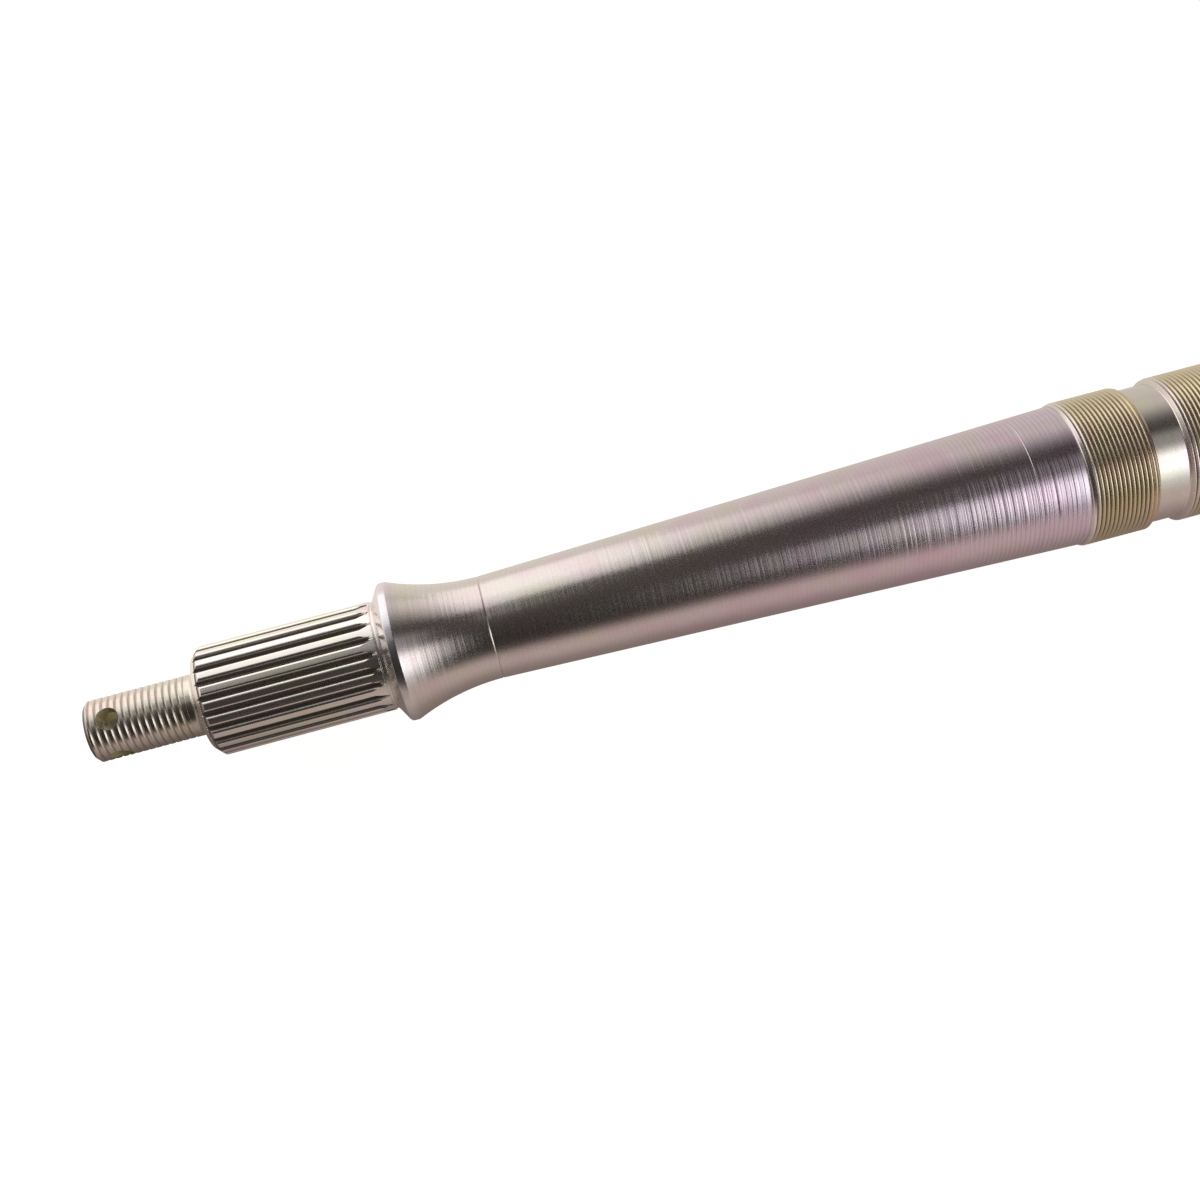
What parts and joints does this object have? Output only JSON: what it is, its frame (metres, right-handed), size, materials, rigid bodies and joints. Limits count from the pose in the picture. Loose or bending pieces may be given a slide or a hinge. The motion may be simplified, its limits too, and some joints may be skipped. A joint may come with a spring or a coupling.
{
  "type": "axle shaft",
  "caption": "Solid steel rear axle shaft with threaded, cross-drilled ends, wheel hub splines, long cones, ring nut threads and bearing seats.",
  "frame": {"origin": "on the shaft's centre line at the middle of its length", "axes": "+X along the shaft, the pictured end at -X; +Z along the upright cotter hole"},
  "size_m": [0.84, 0.035, 0.035],
  "materials": {
    "plated_steel": "turned steel with thin yellow chromate over zinc, satin, with fine lathe rings"
  },
  "bodies": {
    "root": {"axle_shaft": "plated_steel"}
  },
  "joints": []
}
